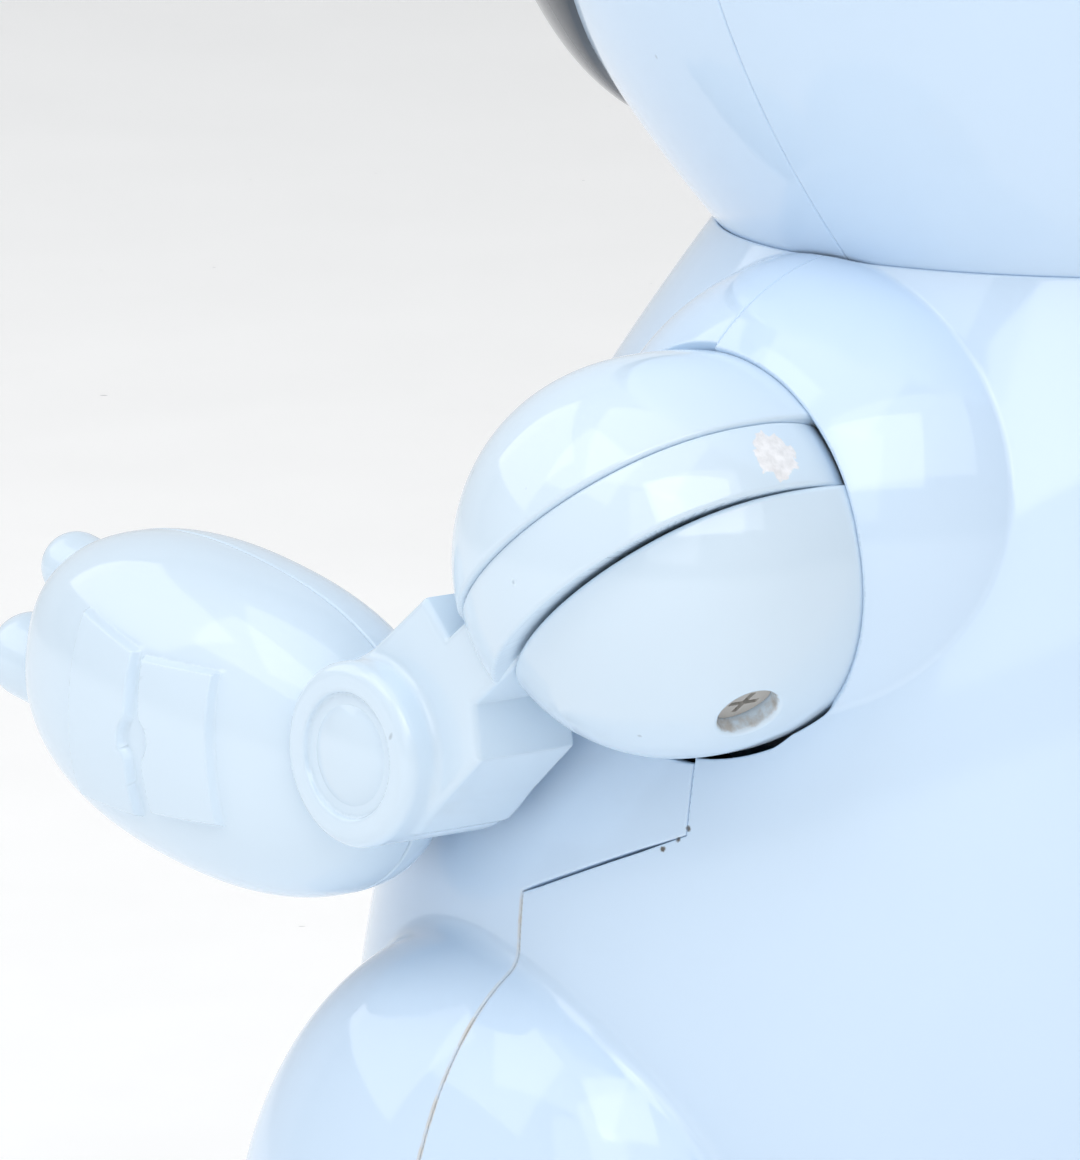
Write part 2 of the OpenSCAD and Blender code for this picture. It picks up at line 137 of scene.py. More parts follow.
def seam_side(p):
    """Distance to the stepped seam between the body shells, above zero ahead of it."""
    y, z = p[:, 1], p[:, 2]
    knots = [(0.0, 300.0), (0.0, 95.0), (-23.0, 86.0), (-23.0, -50.0)]
    far = np.full(len(p), FAR)
    for (ya, za), (yb, zb) in zip(knots, knots[1:]):
        dy, dz = yb - ya, zb - za
        t = np.clip(((y - ya) * dy + (z - za) * dz) / (dy * dy + dz * dz), 0, 1)
        far = np.minimum(far, np.hypot(y - ya - t * dy, z - za - t * dz))
    line = np.interp(z, [86.0, 95.0], [-23.0, 0.0])
    return np.where(y < line, far, -far)


def f_socket(p, grow=0.0):
    relief = (0.55 + grow) * np.clip(np.abs(p[:, 0]) - 60.9, 0, 1) + 0.4 * grow
    return np.maximum(np.hypot(p[:, 1], p[:, 2] - SHOULDER_Z) - SOCKET_R - relief, 50 - np.abs(p[:, 0]))


def f_wedge(p, grow):
    """Distance outside the visor's oval, for points ahead of the neck."""
    k = np.hypot(p[:, 0] / (VISOR_A + grow), (p[:, 2] - VISOR_Z) / (VISOR_B + grow))
    g = np.hypot(p[:, 0] / (VISOR_A + grow) ** 2, (p[:, 2] - VISOR_Z) / (VISOR_B + grow) ** 2)
    return np.where(p[:, 1] < 0, k * (k - 1) / np.maximum(g, 1e-6), FAR)


def egg_r(x, full, belly, nose):
    up = np.clip((x - belly) / (nose - belly), 0, 1)
    return np.where(x > belly, full * np.sqrt(1 - up**2.4), full - (np.clip(belly - x, 0, None) / 9) ** 2)


# ---------------------------------------------------------------- surface meshes
EDGE_BANDS = ((3.0, 0.8), (1.2, 0.4), (0.6, 0.25))  # (reach, edge length) round each cut


def grid(nu, nv, first_v=0.0):
    nu, nv = int(nu * FINE), int(nv * FINE)
    a, b = np.meshgrid(np.linspace(0.0, 1.0, nu + 1), np.linspace(first_v, 1.0, nv + 1), indexing="ij")
    idx = np.arange((nu + 1) * (nv + 1)).reshape(nu + 1, nv + 1)
    p, q, r, s = (k.ravel() for k in (idx[:-1, :-1], idx[1:, :-1], idx[1:, 1:], idx[:-1, 1:]))
    return np.stack([a.ravel(), b.ravel()], 1), np.concatenate([np.stack([p, q, r], 1), np.stack([p, r, s], 1)])


def edge_table(tris, count):
    """The edges, each triangle's three edge numbers, and how many triangles use each edge."""
    a = np.concatenate([tris[:, [0, 1]], tris[:, [1, 2]], tris[:, [2, 0]]])
    key = np.minimum(a[:, 0], a[:, 1]).astype(np.int64) * count + np.maximum(a[:, 0], a[:, 1])
    uniq, inv, times = np.unique(key, return_inverse=True, return_counts=True)
    return np.stack([uniq // count, uniq % count], 1), inv.reshape(3, -1).T, times


def rolled(tris, ids, k):
    return np.roll(tris, -k, axis=1), np.roll(ids, -k, axis=1)


def split(uv, tris, edges, ids, mark):
    """Halves the marked edges and the triangles on them."""
    mid = np.full(len(edges), -1)
    mid[mark] = len(uv) + np.arange(mark.sum())
    uv = np.concatenate([uv, (uv[edges[mark, 0]] + uv[edges[mark, 1]]) / 2])
    m = mid[ids]
    hit = (m >= 0).sum(1)
    out = [tris[hit == 0]]
    for k in range(3):
        t, e = rolled(tris, m, k)
        one = (hit == 1) & (e[:, 0] >= 0)
        a, b = t[one], e[one]
        out += [np.stack([a[:, 0], b[:, 0], a[:, 2]], 1), np.stack([b[:, 0], a[:, 1], a[:, 2]], 1)]
        two = (hit == 2) & (e[:, 2] < 0)
        a, b = t[two], e[two]
        out += [
            np.stack([a[:, 1], b[:, 1], b[:, 0]], 1),
            np.stack([a[:, 0], b[:, 0], b[:, 1]], 1),
            np.stack([a[:, 0], b[:, 1], a[:, 2]], 1),
        ]
    a, b = tris[hit == 3], m[hit == 3]
    out += [
        np.stack([a[:, 0], b[:, 0], b[:, 2]], 1),
        np.stack([a[:, 1], b[:, 1], b[:, 0]], 1),
        np.stack([a[:, 2], b[:, 2], b[:, 1]], 1),
        b,
    ]
    return uv, np.concatenate(out)


def refine(uv, tris, place, fields, bands):
    """Halves edges longer than length that lie within reach of a field's zero, for each band."""
    for reach, length in bands:
        p = place(uv)
        near = np.min([np.abs(f(p)) for f in fields], axis=0)
        edges, ids, _ = edge_table(tris, len(uv))
        long = np.linalg.norm(p[edges[:, 0]] - p[edges[:, 1]], axis=1)
        mark = (long > length) & (near[edges].min(1) < reach + long)
        if not mark.any():
            continue
        uv, tris = split(uv, tris, edges, ids, mark)
    return uv, tris


def clip(uv, tris, place, field, rim):
    """Keeps the part of a surface where field is above zero. rim marks points on a cut edge."""
    g = field(place(uv))
    edges, ids, _ = edge_table(tris, len(uv))
    ga, gb = g[edges[:, 0]], g[edges[:, 1]]
    cross = (ga > 0) != (gb > 0)
    a, b = uv[edges[cross, 0]], uv[edges[cross, 1]]
    fa, fb = ga[cross], gb[cross]
    for _ in range(5):
        t = np.clip(fa / (fa - fb), 0.02, 0.98)[:, None]
        c = a + (b - a) * t
        fc = field(place(c))
        same = (fc > 0) == (fa > 0)
        a, fa = np.where(same[:, None], c, a), np.where(same, fc, fa)
        b, fb = np.where(same[:, None], b, c), np.where(same, fb, fc)
    t = np.clip(fa / (fa - fb), 0, 1)[:, None]
    new = np.full(len(edges), -1)
    new[cross] = len(uv) + np.arange(cross.sum())
    uv = np.concatenate([uv, a + (b - a) * t])
    rim = np.concatenate([rim, np.ones(cross.sum(), bool)])
    keep = (g > 0)[tris]
    n, m = keep.sum(1), new[ids]
    out = [tris[n == 3]]
    for k in range(3):
        t3, e3 = rolled(tris, m, k)
        kk = np.roll(keep, -k, axis=1)
        one = (n == 1) & kk[:, 0]
        out.append(np.stack([t3[one, 0], e3[one, 0], e3[one, 2]], 1))
        two = (n == 2) & ~kk[:, 2]
        out.append(np.stack([t3[two, 0], t3[two, 1], e3[two, 1]], 1))
        out.append(np.stack([t3[two, 0], e3[two, 1], e3[two, 2]], 1))
    tris = np.concatenate(out)
    used = np.unique(tris)
    remap = np.zeros(len(uv), int)
    remap[used] = np.arange(len(used))
    return uv[used], remap[tris], rim[used]


def normals(uv, place):
    """Unit normals of the surface, and where they are sound."""
    du, dv = np.array([2e-4, 0]), np.array([0, 2e-4])
    n = np.cross(place(uv + du) - place(uv - du), place(uv + dv) - place(uv - dv))
    size = np.linalg.norm(n, axis=1)
    return n / np.maximum(size, 1e-12)[:, None], size > 1e-9


def cut_skin(uv, tris, place, cuts, trims=(), edge=0.4, depth=2.2, out=1):
    """A moulded wall seen from outside: the surface kept where every cut is above zero, with
    rounded edges of radius edge that turn inwards there as a lip of the given depth. trims cut
    without a rounded edge. out is -1 where the grid's own normals point inwards."""
    uv, tris = refine(uv, tris, place, list(cuts) + list(trims), EDGE_BANDS)
    rim = np.zeros(len(uv), bool)
    for f in trims:
        uv, tris, rim = clip(uv, tris, place, f, rim)
    rim[:] = False
    for f in cuts:
        uv, tris, rim = clip(uv, tris, place, f, rim)
    p = place(uv)
    n, sound = normals(uv, place)
    n = n * out
    near = np.min([np.maximum(f(p), 0) for f in cuts], axis=0) if cuts else np.full(len(p), FAR)
    near[rim] = 0
    inside = np.clip(edge - near, 0, edge)
    at = p - n * (edge - np.sqrt(edge**2 - inside**2))[:, None]
    edges, ids, times = edge_table(tris, len(uv))
    lip = (times == 1) & rim[edges[:, 0]] & rim[edges[:, 1]] & (near[edges].max(1) < 0.05)
    faces = [tuple(t) for t in (tris if out > 0 else tris[:, ::-1])]
    custom = np.where((near > 1.6 * edge)[:, None] & sound[:, None], n, 0)
    if lip.any() and depth:
        where = np.unique(edges[lip])
        remap = {int(k): len(at) + i for i, k in enumerate(where)}
        at = np.concatenate([at, at[where] - n[where] * depth])
        custom = np.concatenate([custom, np.zeros((len(where), 3))])
        owner = {}
        for t in tris:
            for a, b in ((t[0], t[1]), (t[1], t[2]), (t[2], t[0])):
                if rim[a] and rim[b]:
                    owner[(int(min(a, b)), int(max(a, b)))] = (int(a), int(b))
        for a, b in edges[lip]:
            x, y = owner[(int(a), int(b))]
            face = (y, x, remap[x], remap[y])
            faces.append(face if out > 0 else face[::-1])
    return at, faces, custom


def nets(field, lo, hi, h):
    """A smooth surface where field is zero, as (points, quads, normals)."""
    lo, hi = np.array(lo, float), np.array(hi, float)
    size = np.ceil((hi - lo) / h).astype(int) + 1
    axes = [lo[k] + h * np.arange(size[k]) for k in range(3)]
    at = np.stack(np.meshgrid(*axes, indexing="ij"), -1).reshape(-1, 3)
    d = field(at).reshape(size)
    inside = d < 0
    corners = [(i, j, k) for i in (0, 1) for j in (0, 1) for k in (0, 1)]

    def part(a, c):
        return a[tuple(slice(c[k], size[k] - 1 + c[k]) for k in range(3))]

    total = sum(part(inside, c).astype(int) for c in corners)
    cells = np.argwhere((total > 0) & (total < 8))
    number = np.full(size - 1, -1)
    number[tuple(cells.T)] = np.arange(len(cells))
    where, count = np.zeros((len(cells), 3)), np.zeros(len(cells))
    for a in corners:
        for k in range(3):
            if a[k]:
                continue
            b = list(a)
            b[k] = 1
            va, vb = d[tuple((cells + a).T)], d[tuple((cells + b).T)]
            hit = (va < 0) != (vb < 0)
            t = np.where(hit, va / np.where(hit, va - vb, 1), 0)
            where += (np.array(a) + t[:, None] * (np.array(b) - a)) * hit[:, None]
            count += hit
    p = lo + h * (cells + where / count[:, None])
    quads = []
    for k in range(3):
        i, j = (k + 1) % 3, (k + 2) % 3
        first = inside[tuple(slice(0, size[m] - 1) if m == k else slice(1, size[m] - 1) for m in range(3))]
        second = inside[tuple(slice(1, size[m]) if m == k else slice(1, size[m] - 1) for m in range(3))]
        for turn in (True, False):
            e = np.argwhere((first & ~second) if turn else (~first & second))
            base = e + np.array([0 if m == k else 1 for m in range(3)])
            ei, ej = np.eye(3, dtype=int)[i], np.eye(3, dtype=int)[j]
            ring = [number[tuple((base - s).T)] for s in (0 * ei, ei, ei + ej, ej)]
            q = np.stack(ring, 1)
            quads.append(q if turn else q[:, ::-1])
    quads = np.concatenate(quads)

    def slope(q):
        e = 0.02
        return np.stack([field(q + e * v) - field(q - e * v) for v in np.eye(3)], 1) / (2 * e)

    for _ in range(3):
        g = slope(p)
        move = field(p) / np.maximum((g**2).sum(1), 0.05)
        p = p - np.clip(move, -h, h)[:, None] * g
    g = slope(p)
    return p, [tuple(q) for q in quads], g / np.maximum(np.linalg.norm(g, axis=1), 1e-9)[:, None]


def turned_form(line, steps=96):
    """A form turned about the X axis from (radius, distance along X) pairs."""
    line = np.array(line, float)
    a = np.linspace(0, 2 * np.pi, steps, endpoint=False)
    across, up = np.outer(line[:, 0], np.cos(a)), np.outer(line[:, 0], np.sin(a))
    pts = np.stack([np.repeat(line[:, 1], steps), across.ravel(), up.ravel()], 1)
    faces = []
    for i in range(len(line) - 1):
        for j in range(steps):
            k = (j + 1) % steps
            faces.append((i * steps + j, i * steps + k, (i + 1) * steps + k, (i + 1) * steps + j))
    return pts, faces, np.zeros((len(pts), 3))


def merged(*parts):
    """One (points, faces, normals) part from several."""
    pts, faces, custom, start = [], [], [], 0
    for p, f, c in parts:
        pts.append(p)
        custom.append(c)
        faces += [tuple(int(k) + start for k in face) for face in f]
        start += len(p)
    return np.concatenate(pts), faces, np.concatenate(custom)


def mirrored(part):
    """The same part on the robot's other side."""
    p, f, c = part
    flip = np.array([-1, 1, 1])
    return p * flip, [face[::-1] for face in f], c * flip


def add(name, part, body, nodes, material):
    """The part, in mm about the neck axis, as a piece on a CAD body."""
    p, faces, custom = part
    mesh = bpy.data.meshes.new(name)
    mesh.from_pydata((p / 1000 + np.array([0, AXIS_Y, 0])).tolist(), [], [tuple(int(k) for k in f) for f in faces])
    mesh.update()
    mesh.polygons.foreach_set("use_smooth", [True] * len(mesh.polygons))
    if np.abs(custom).sum() > 0:
        mesh.normals_split_custom_set_from_vertices(custom.tolist())
    ob = bpy.data.objects.new(name, mesh)
    bpy.context.scene.collection.objects.link(ob)
    mesh.materials.append(material)
    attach(ob, body)
    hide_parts(*nodes)


# ---------------------------------------------------------------- materials
class Nodes:
    """A small helper round a material's node tree."""

    def __init__(self, name):
        self.material = bpy.data.materials.new(name)
        self.material.use_nodes = True
        self.tree = self.material.node_tree
        self.shader = next(n for n in self.tree.nodes if n.type == "BSDF_PRINCIPLED")
        coord = self.tree.nodes.new("ShaderNodeTexCoord")
        self.where = coord.outputs["Object"]

    def new(self, kind, **values):
        node = self.tree.nodes.new(kind)
        for key, value in values.items():
            if key in node.inputs.keys():
                node.inputs[key].default_value = value
            else:
                setattr(node, key, value)
        return node

    def link(self, a, b):
        self.tree.links.new(a, b)

    def noise(self, scale, detail=3.0, rough=0.55):
        n = self.new("ShaderNodeTexNoise", Scale=scale, Detail=detail, Roughness=rough)
        self.link(self.where, n.inputs["Vector"])
        return n.outputs["Fac"]

    def spread(self, source, low, high, a=0.35, b=0.65):
        n = self.new("ShaderNodeMapRange")
        for key, value in (("From Min", a), ("From Max", b), ("To Min", low), ("To Max", high)):
            n.inputs[key].default_value = value
        self.link(source, n.inputs["Value"])
        return n.outputs["Result"]

    def mix(self, factor, a, b):
        n = self.new("ShaderNodeMix", data_type="RGBA")
        self.link(factor, n.inputs["Factor"])
        for key, value in (("A", a), ("B", b)):
            socket = next(s for s in n.inputs if s.name == key and s.type == "RGBA")
            if hasattr(value, "is_output"):
                self.link(value, socket)
            else:
                socket.default_value = (*value, 1)
        return next(s for s in n.outputs if s.type == "RGBA")

    def bump(self, height, strength, distance):
        n = self.new("ShaderNodeBump", Strength=strength, Distance=distance)
        self.link(height, n.inputs["Height"])
        self.link(n.outputs["Normal"], self.shader.inputs["Normal"])


def plastic(name, colour, rough=0.2, vary=0.03, grain=0.0, metallic=0.0, ior=1.5, marks=(), seam_dirt=False):
    """Moulded plastic, rubber or metal with slight colour drift, handling marks and moulding grain.
    marks are worn or dirty places, or patches of painted shade: (centre in mm about the neck axis, radius,
    raggedness, colour)."""
    m = Nodes(name)
    base = np.array(colour)
    drift = m.spread(m.noise(18.0), 0.0, 1.0)
    tone = m.mix(drift, tuple(np.clip(base * (1 - vary), 0, 1)), tuple(np.clip(base * (1 + vary), 0, 1)))
    dots = m.spread(m.noise(260.0, 1.0), 0.0, 1.0, 0.80, 0.83)
    tone = m.mix(dots, tone, tuple(base * 0.55))
    for centre, radius, ragged, mark in marks:
        near = m.new("ShaderNodeVectorMath", operation="DISTANCE")
        near.inputs[1].default_value = (centre[0] / 1000, centre[1] / 1000 + AXIS_Y, centre[2] / 1000)
        m.link(m.where, near.inputs[0])
        wobble = m.spread(m.noise(700.0, 3.0), -ragged / 1000, ragged / 1000, 0.3, 0.7)
        reach = m.new("ShaderNodeMath", operation="ADD")
        m.link(near.outputs["Value"], reach.inputs[0])
        m.link(wobble, reach.inputs[1])
        cover = m.spread(reach.outputs[0], 1.0, 0.0, (radius - 0.12) / 1000, (radius + 0.12) / 1000)
        shade = m.mix(m.spread(m.noise(900.0, 4.0), 0.0, 1.0), tuple(np.array(mark) * 0.82), mark)
        tone = m.mix(cover, tone, shade)
    if seam_dirt:
        apart = m.new("ShaderNodeSeparateXYZ")
        m.link(m.where, apart.inputs[0])
        off = m.new("ShaderNodeMath", operation="ADD")
        off.inputs[1].default_value = 0.023 - AXIS_Y
        m.link(apart.outputs["Y"], off.inputs[0])
        away = m.new("ShaderNodeMath", operation="ABSOLUTE")
        m.link(off.outputs[0], away.inputs[0])
        line = m.spread(away.outputs[0], 1.0, 0.0, 0.00022, 0.0004)
        low_down = m.spread(apart.outputs["Z"], 1.0, 0.0, 0.085, 0.0865)
        patchy = m.spread(m.noise(340.0, 3.0), 0.25, 0.9)
        both = m.new("ShaderNodeMath", operation="MULTIPLY")
        all_three = m.new("ShaderNodeMath", operation="MULTIPLY")
        m.link(line, both.inputs[0])
        m.link(low_down, both.inputs[1])
        m.link(both.outputs[0], all_three.inputs[0])
        m.link(patchy, all_three.inputs[1])
        tone = m.mix(all_three.outputs[0], tone, (0.62, 0.60, 0.56))
    m.link(tone, m.shader.inputs["Base Color"])
    m.link(m.spread(m.noise(65.0, 5.0), rough * 0.9, rough * 1.15), m.shader.inputs["Roughness"])
    m.shader.inputs["Metallic"].default_value = metallic
    m.shader.inputs["IOR"].default_value = ior
    m.bump(m.noise(1400.0 if grain else 30.0, 2.0), 0.25 if grain else 0.06, 0.0002 if grain else 0.0004)
    return m.material


BLUE, ARM_BLUE = (0.63, 0.775, 0.94), (0.665, 0.79, 0.905)
# the near-black mark colour stands for painted shade in the body seam's slit, and for small dark dots at the neck and
# on the hand
WEAR, SHADE_AND_GRIME, CHIP = (0.52, 0.51, 0.49), (0.16, 0.15, 0.14), (0.93, 0.92, 0.93)
SCREW_MOUTH = arm_to_body(np.array([[SCREW_X, SCREW_Y, -20.4]]))[0]
SHELL = plastic("shell_blue", BLUE, rough=0.07, vary=0.012)
# the first three marks are painted shade: near-black patches in the open slit where the body seam jogs forward; the
# fourth puts a small near-black dot where the body shell meets the head
TORSO_BLUE = plastic("shell_blue_body", BLUE, rough=0.07, vary=0.012, seam_dirt=True, marks=[
    ((65.97, 0.1, 95.8), 0.32, 0.3, SHADE_AND_GRIME),
    ((66.2, -0.9, 94.4), 0.30, 0.3, SHADE_AND_GRIME),
    ((66.9, -2.9, 93.3), 0.34, 0.35, SHADE_AND_GRIME),
    ((45.2, -18.6, 158.0), 0.4, 0.3, SHADE_AND_GRIME),
])
COVER_BLUE = plastic("shell_blue_cover", ARM_BLUE, rough=0.07, vary=0.012, marks=[
    (tuple(SCREW_MOUTH), 3.55, 0.15, WEAR),
])
CORE_BLUE = plastic("shell_blue_core", ARM_BLUE, rough=0.07, vary=0.012, marks=[
    ((69.4, 17.4, 138.9), 2.6, 0.8, CHIP),
])
HAND_BLUE = plastic("shell_blue_hand", ARM_BLUE, rough=0.07, vary=0.012, marks=[
    ((75.0, -46.4, 114.4), 0.35, 0.3, SHADE_AND_GRIME),
    ((75.2, -44.6, 113.6), 0.25, 0.3, SHADE_AND_GRIME),
])
SMALL_BLUE = plastic("shell_blue_arm", ARM_BLUE, rough=0.07, vary=0.012)
VISOR = plastic("visor_black", (0.10, 0.105, 0.115), rough=0.14, vary=0.12)
LENS = plastic("eye_lens", (0.45, 0.80, 0.95), rough=0.1, vary=0.05)
DARK = plastic("inner_grey", (0.20, 0.21, 0.23), rough=0.5, grain=1)
BASE = plastic("base_blue_grey", (0.33, 0.43, 0.53), rough=0.45, grain=1)
BOARD = plastic("board_green", (0.02, 0.16, 0.06), rough=0.35, vary=0.2)
CELL = plastic("cell_wrap", (0.03, 0.16, 0.08), rough=0.3)
STEEL = plastic("plated_steel", (0.60, 0.60, 0.62), rough=0.28, vary=0.08, metallic=1.0)
WORN = plastic("worn_screw", (0.50, 0.48, 0.45), rough=0.65, vary=0.35)
GEAR = plastic("gearbox", (0.70, 0.42, 0.08), rough=0.35)
RUBBER = plastic("tyre_rubber", (0.025, 0.025, 0.028), rough=0.75, vary=0.25, grain=1)
WHITE = plastic("white_plastic", (0.82, 0.85, 0.88), rough=0.2)
ORANGE = plastic("button_orange", (0.88, 0.30, 0.06), rough=0.2)
BLACK = plastic("black_plastic", (0.02, 0.02, 0.022), rough=0.4, grain=1)
CAD_MATERIALS = {
    "lens": LENS,
    "inner_plastic": DARK,
    "base_plastic": BASE,
    "board": BOARD,
    "cell": CELL,
    "steel": STEEL,
    "motor": STEEL,
    "gearbox": GEAR,
    "tyre_rubber": RUBBER,
    "white_plastic": WHITE,
    "button_plastic": ORANGE,
    "black_plastic": BLACK,
    "shell": SHELL,
    "visor": VISOR,
}

# ---------------------------------------------------------------- body shells
SHELL_EDGE, SEAM_GAP, HEAD_GAP = 0.17, 0.035, 0.18
BUTTON_C, BUTTON_TILT, BUTTON_R = np.array([0, -76.6, 108]), math.radians(26.6), 12.6
def settle(p, field, rounds=4):
    """Moves points onto the surface where field is zero."""
    e = 0.05
    for _ in range(rounds):
        v = field(p)
        g = np.stack([field(p + e * k) - v for k in np.eye(3)], 1) / e
        p = p - np.clip(v / np.maximum((g**2).sum(1), 0.2), -3, 3)[:, None] * g
    return p


def on_body(uv):
    a, z = uv[:, 0] * 2 * np.pi, 5 + uv[:, 1] * 154
    r = body_r(z)
    p = np.stack([r * np.cos(a), r * np.sin(a) - LEAN * (NECK_Z - z), z], 1)
    return settle(p, f_torso)


def on_leg(side):
    def place(uv):
        a, t = uv[:, 0] * 2 * np.pi, uv[:, 1] * np.pi
        q = np.stack([np.sin(t) * np.cos(a), np.sin(t) * np.sin(a), np.cos(t)], 1) * LEG_S + LEG
        return settle(q * np.array([side, 1, 1]), f_torso)

    return place


def on_dome(side):
    def place(uv):
        a, t = uv[:, 0] * 2 * np.pi, 0.5 + uv[:, 1] * 1.6
        q = DOME_R * np.stack([np.cos(t), np.sin(t) * np.cos(a), np.sin(t) * np.sin(a)], 1)
        return settle((q + np.array([DOME_X, 0, DOME_Z])) * np.array([side, 1, 1]), f_torso)

    return place


def head_clear(p):
    return f_head(p) - HEAD_GAP


def above_skirt(p):
    return p[:, 2] - SKIRT_Z


def torso_shell(ahead, extra=()):
    """The front or rear body shell, with its parts of both legs and both shoulder domes."""
    way = 1 if ahead else -1

    def seam(p):
        wide = np.clip((94.6 - p[:, 2]) / 2, 0, 1) * np.clip((p[:, 2] - 85.5) / 1.5, 0, 1)
        return way * seam_side(p) - SEAM_GAP - 0.13 * wide

    def socket(p):
        return f_socket(p, 0.45 if ahead else 0.0)

    cuts = [seam, head_clear, socket, above_skirt, *extra]
    only_body = [lambda p: f_leg(p) - f_body(p), lambda p: f_dome(p) - f_body(p)]
    parts = [cut_skin(*grid(260, 110), on_body, cuts, only_body, edge=SHELL_EDGE)]
    for side in (1, -1):
        for place, form, cells in ((on_leg, f_leg, (110, 70)), (on_dome, f_dome, (150, 60))):
            only_form = [lambda p, f=form: f_body(p) - f(p), lambda p, s=side: p[:, 0] * s]
            parts.append(cut_skin(*grid(*cells), place(side), cuts, only_form, edge=SHELL_EDGE, out=-side))
    return merged(*parts)


def button_clear(p):
    """The round opening of the chest button's bezel."""
    n = np.array([0, -math.cos(BUTTON_TILT), math.sin(BUTTON_TILT)])
    q = p - BUTTON_C
    along = q @ n
    return np.linalg.norm(q - along[:, None] * n, axis=1) - BUTTON_R + FAR * (along < -20)


def slots_clear(p):
    """Seven upright speaker slots, shorter towards the sides."""
    d = np.full(len(p), FAR)
    for i in range(-3, 4):
        half = 8 - abs(i) * 1.5
        x, z = np.abs(p[:, 0] - i * 5) - 1, np.abs(p[:, 2] - 70) - half
        d = np.minimum(d, np.maximum(x, z))
    return np.where(p[:, 1] < -60, d, FAR)


def panel_clear(p):
    """The opening for the rear panel."""
    d = np.maximum(np.abs(p[:, 0]) - 15, np.abs(p[:, 2] - 75) - 12)
    return np.where(p[:, 1] > 20, d, FAR)


front_body = torso_shell(True, (button_clear, slots_clear))
rear_body = torso_shell(False, (panel_clear,))
add("front_body_shell", front_body, "torso", ["torso_front_shell"], TORSO_BLUE)
add("rear_body_shell", rear_body, "torso", ["torso_rear_shell"], TORSO_BLUE)

# ---------------------------------------------------------------- head
def on_head(uv):
    a, t = uv[:, 0] * 2 * np.pi, uv[:, 1]
    z = HEAD_LOW - 0.1 + (HEAD_TOP - HEAD_LOW + 0.1) * np.sin(t * np.pi / 2)
    r = head_r(z)
    return np.stack([r * np.cos(a), r * np.sin(a), z], 1)


def head_shell(ahead):
    cuts = [lambda p: p[:, 2] - HEAD_LOW]
    if ahead:
        cuts += [lambda p: HEAD_SEAM - SEAM_GAP - p[:, 1], lambda p: f_wedge(p, 0.25)]
    else:
        cuts += [lambda p: p[:, 1] - HEAD_SEAM - SEAM_GAP]
    return cut_skin(*grid(240, 120), on_head, cuts, edge=0.2)


def on_visor(uv):
    """The visor, domed out from the head's surface within its oval."""
    a, k = uv[:, 0] * 2 * np.pi, np.sqrt(np.clip(uv[:, 1], 0, 1)) * 0.9985
    x, z = VISOR_A * k * np.cos(a), VISOR_Z + VISOR_B * k * np.sin(a)
    r = head_r(z)
    y = -np.sqrt(np.maximum(r * r - x * x, 1))
    e = 0.05
    rise = (head_r(z + e) - head_r(z - e)) / (2 * e)
    n = np.stack([x / r, y / r, -rise], 1)
    n /= np.linalg.norm(n, axis=1)[:, None]
    inner = np.clip(-f_wedge(np.stack([x, y, z], 1), 0) / 5.5, 0, 1)
    return np.stack([x, y, z], 1) + n * (VISOR_RISE * np.sqrt(1 - (1 - inner) ** 2))[:, None]


def eyes_clear(p):
    return np.hypot(np.abs(p[:, 0]) - 23, p[:, 2] - 208) - 9.1


add("front_head_shell", head_shell(True), "head", ["head_front_shell"], SHELL)
add("rear_head_shell", head_shell(False), "head", ["head_rear_shell"], SHELL)
skin = cut_skin(*grid(200, 90, first_v=0.0001), on_visor, [eyes_clear], edge=0.4, out=-1)
RING = 201
edge_ring = on_visor(np.stack([np.linspace(0, 1, RING), np.ones(RING)], 1))
inward = edge_ring * np.array([0.96, 0.94, 1])
rim_faces = [(RING + i, RING + 1 + i, i + 1, i) for i in range(RING - 1)]
rim = (np.concatenate([edge_ring, inward]), rim_faces, np.zeros((2 * RING, 3)))
add("visor", merged(skin, rim), "head", ["face_visor"], VISOR)

# ---------------------------------------------------------------- arms
def on_egg(full, belly, nose, sink=0.0):
    """The egg of a shoulder layer. sink draws it in further towards the socket."""

    def place(uv):
        a, t = uv[:, 0] * 2 * np.pi, uv[:, 1]
        x = 53.0 + (nose - 53.0) * np.sin(t * np.pi / 2)
        r = egg_r(x, full, belly, nose) - sink * (np.clip(belly - x, 0, None) / 9) ** 2
        return np.stack([x, r * np.cos(a), r * np.sin(a)], 1)

    return place


def past(x):
    return lambda p: p[:, 0] - x


def screw_clear(p):
    d = np.hypot(p[:, 0] - SCREW_X, p[:, 1] - SCREW_Y) - 3.5
    return np.where(p[:, 2] < 0, d, FAR)


def egg_skin(shape, cuts, edge=0.5, depth=2.0):
    p, f, c = cut_skin(*grid(220, 90), on_egg(*shape), cuts, edge=edge, depth=depth)
    return arm_to_body(p), f, turned(c, DROOP)


def above_core(p):
    return p[:, 2] - CORE_HALF - 0.1


def below_core(p):
    return -p[:, 2] - CORE_HALF - 0.1


def in_core(p):
    return CORE_HALF - np.abs(p[:, 2])


FRONT_EGG, CORE_EGG, REAR_EGG = (22.2, 68, 91.8), (22.0, 69, 91.0, 1.0), (21.6, 66, 88.3)
cover_front = egg_skin(FRONT_EGG, [above_core, past(56.1)])
cover_rear = egg_skin(REAR_EGG, [below_core, past(56.1), screw_clear], edge=0.6)
band = egg_skin(CORE_EGG, [in_core, past(54.5)], depth=6.0)
flange_line = [(3.5, 53.4), (19.9, 53.4), (20.5, 53.7), (20.6, 54.2), (20.5, 55.4), (20.0, 55.8), (3.5, 55.8)]
flange = turned_form(flange_line)
flange = (arm_to_body(flange[0]), flange[1], flange[2])

# the forearm's side outline, from the shoulder to the wrist
SIDE = np.array([
    (6, -4), (20.6, -4), (23.7, -9.3), (WRIST_D, -10.1), (WRIST_D, 10.1), (33.4, 9.3), (20.4, 9.4), (19.9, 4), (6, 4),
])


